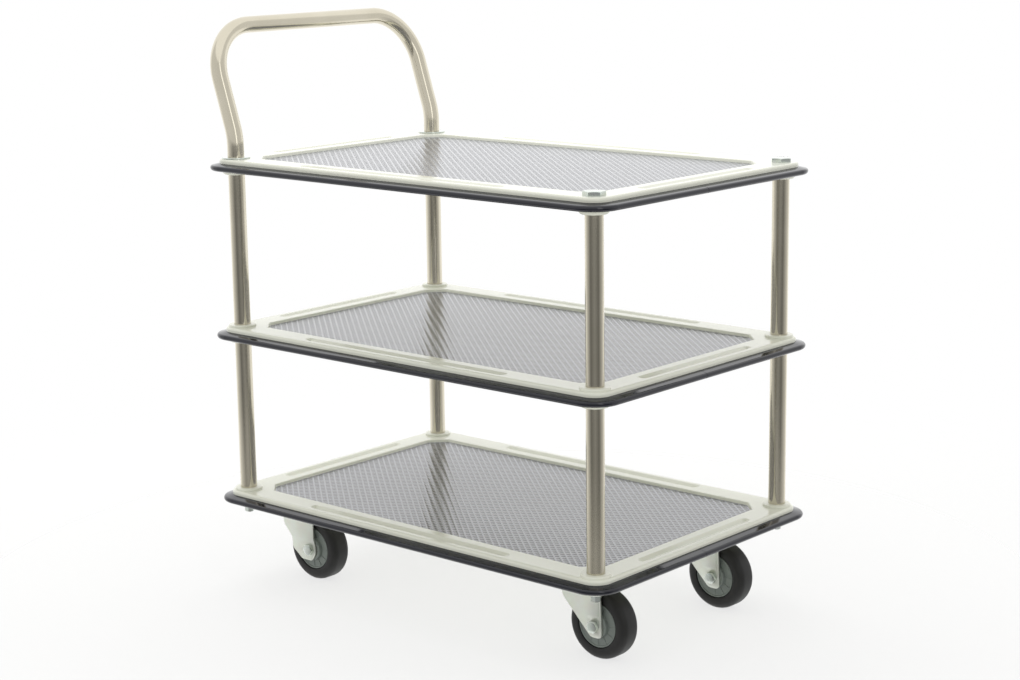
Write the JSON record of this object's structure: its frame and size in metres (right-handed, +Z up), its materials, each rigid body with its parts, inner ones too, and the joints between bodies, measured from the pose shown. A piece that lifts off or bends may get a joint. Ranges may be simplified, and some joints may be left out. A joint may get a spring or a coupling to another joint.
{
  "type": "three-tier push cart",
  "caption": "Push cart with stacked pressed-steel decks on tube posts, wrap-round bumpers, a bent tube handle, and rigid and swivel casters.",
  "frame": {"origin": "on the floor under the middle of the bounding box", "axes": "+Z up; +X along the decks away from the handle; +Y to the left of the person pushing"},
  "size_m": [0.7942, 0.5082, 0.8672],
  "materials": {
    "ivory_paint": "gloss",
    "grey_mat": "gloss",
    "navy_bumper": "gloss",
    "nickel_tube": "satin",
    "zinc_sheet": "satin",
    "zinc_fastener": "satin",
    "bearing_steel": "polished",
    "black_tyre": "matte",
    "grey_hub": "matte"
  },
  "bodies": {
    "frame": {"base_cups": "ivory_paint", "base_washers": "zinc_fastener", "bottom_deck_bumper": "navy_bumper", "bottom_deck_mat": "grey_mat", "bottom_deck_pan": "ivory_paint", "caster_plate_bolts": "zinc_fastener", "caster_plate_nuts": "zinc_fastener", "front_hex_caps": "zinc_fastener", "handle_inserts": "zinc_fastener", "handle_washers": "zinc_fastener", "king_pins": "zinc_fastener", "left_caster_rail": "zinc_sheet", "lower_post_front_left": "nickel_tube", "lower_post_front_right": "nickel_tube", "lower_post_rear_left": "nickel_tube", "lower_post_rear_right": "nickel_tube", "middle_deck_bumper": "navy_bumper", "middle_deck_mat": "grey_mat", "middle_deck_pan": "ivory_paint", "post_collars": "ivory_paint", "post_cups": "ivory_paint", "push_handle": "nickel_tube", "right_caster_rail": "zinc_sheet", "rigid_axle_bolts": "zinc_fastener", "rigid_axle_nuts": "zinc_fastener", "rigid_axle_sleeves": "zinc_fastener", "rigid_fork_left": "zinc_sheet", "rigid_fork_right": "zinc_sheet", "swivel_balls": "bearing_steel", "swivel_plate_left": "zinc_sheet", "swivel_plate_right": "zinc_sheet", "tie_rod_nuts": "zinc_fastener", "tie_rods": "zinc_fastener", "top_deck_bumper": "navy_bumper", "top_deck_mat": "grey_mat", "top_deck_pan": "ivory_paint", "upper_post_front_left": "nickel_tube", "upper_post_front_right": "nickel_tube", "upper_post_rear_left": "nickel_tube", "upper_post_rear_right": "nickel_tube"},
    "wheel_front_left": {"tyre_front_left": "black_tyre", "hub_front_left": "grey_hub", "bearings_front_left": "bearing_steel"},
    "wheel_front_right": {"tyre_front_right": "black_tyre", "hub_front_right": "grey_hub", "bearings_front_right": "bearing_steel"},
    "wheel_rear_left": {"tyre_rear_left": "black_tyre", "hub_rear_left": "grey_hub", "bearings_rear_left": "bearing_steel"},
    "wheel_rear_right": {"tyre_rear_right": "black_tyre", "hub_rear_right": "grey_hub", "bearings_rear_right": "bearing_steel"},
    "swivel_left": {"swivel_fork_left": "zinc_sheet", "swivel_axle_bolt_left": "zinc_fastener", "swivel_axle_nut_left": "zinc_fastener", "swivel_axle_sleeve_left": "zinc_fastener"},
    "swivel_right": {"swivel_fork_right": "zinc_sheet", "swivel_axle_bolt_right": "zinc_fastener", "swivel_axle_nut_right": "zinc_fastener", "swivel_axle_sleeve_right": "zinc_fastener"}
  },
  "joints": [
    {"name": "swivel_left_turn", "type": "hinge", "parent": "frame", "child": "swivel_left", "pos_m": [-0.281, 0.139, 0.119], "axis": [0, 0, 1], "continuous": true},
    {"name": "swivel_right_turn", "type": "hinge", "parent": "frame", "child": "swivel_right", "pos_m": [-0.281, -0.139, 0.119], "axis": [0, 0, 1], "continuous": true},
    {"name": "wheel_front_left_spin", "type": "hinge", "parent": "frame", "child": "wheel_front_left", "pos_m": [0.311, 0.139, 0.05], "axis": [0, 1, 0], "continuous": true},
    {"name": "wheel_front_right_spin", "type": "hinge", "parent": "frame", "child": "wheel_front_right", "pos_m": [0.311, -0.139, 0.05], "axis": [0, 1, 0], "continuous": true},
    {"name": "wheel_rear_left_spin", "type": "hinge", "parent": "swivel_left", "child": "wheel_rear_left", "pos_m": [-0.2565, 0.139, 0.05], "axis": [0, 1, 0], "continuous": true},
    {"name": "wheel_rear_right_spin", "type": "hinge", "parent": "swivel_right", "child": "wheel_rear_right", "pos_m": [-0.2565, -0.139, 0.05], "axis": [0, 1, 0], "continuous": true}
  ]
}
